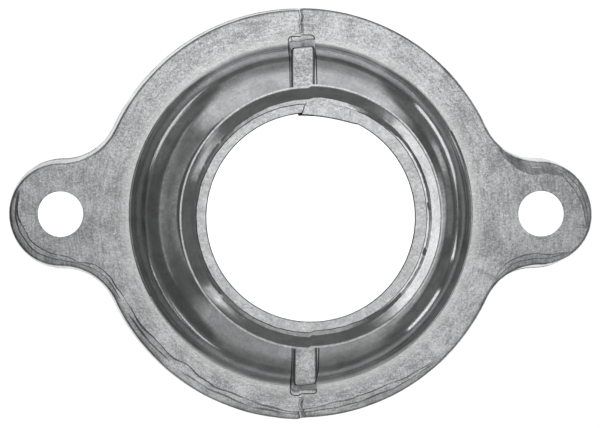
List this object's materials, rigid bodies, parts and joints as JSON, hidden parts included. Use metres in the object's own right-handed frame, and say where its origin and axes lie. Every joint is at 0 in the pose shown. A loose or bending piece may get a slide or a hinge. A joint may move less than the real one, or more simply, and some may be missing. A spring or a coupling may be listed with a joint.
{
  "type": "coolant outlet housing",
  "caption": "Die-cast coolant outlet: a round flange with two bolt ears, a low thermostat dome, gusset ribs and a straight beaded hose neck, open from end to end.",
  "frame": {"origin": "centre of the machined mating face, on the neck's axis", "axes": "+Z along the hose neck, away from the mating face; +X through the centres of the two bolt ears; +Y across them, along the two ribs"},
  "size_m": [0.111, 0.0786, 0.0404],
  "materials": {
    "outlet_housing": "as die cast, tumbled satin"
  },
  "bodies": {
    "root": {"outlet_housing": "outlet_housing"}
  },
  "joints": []
}
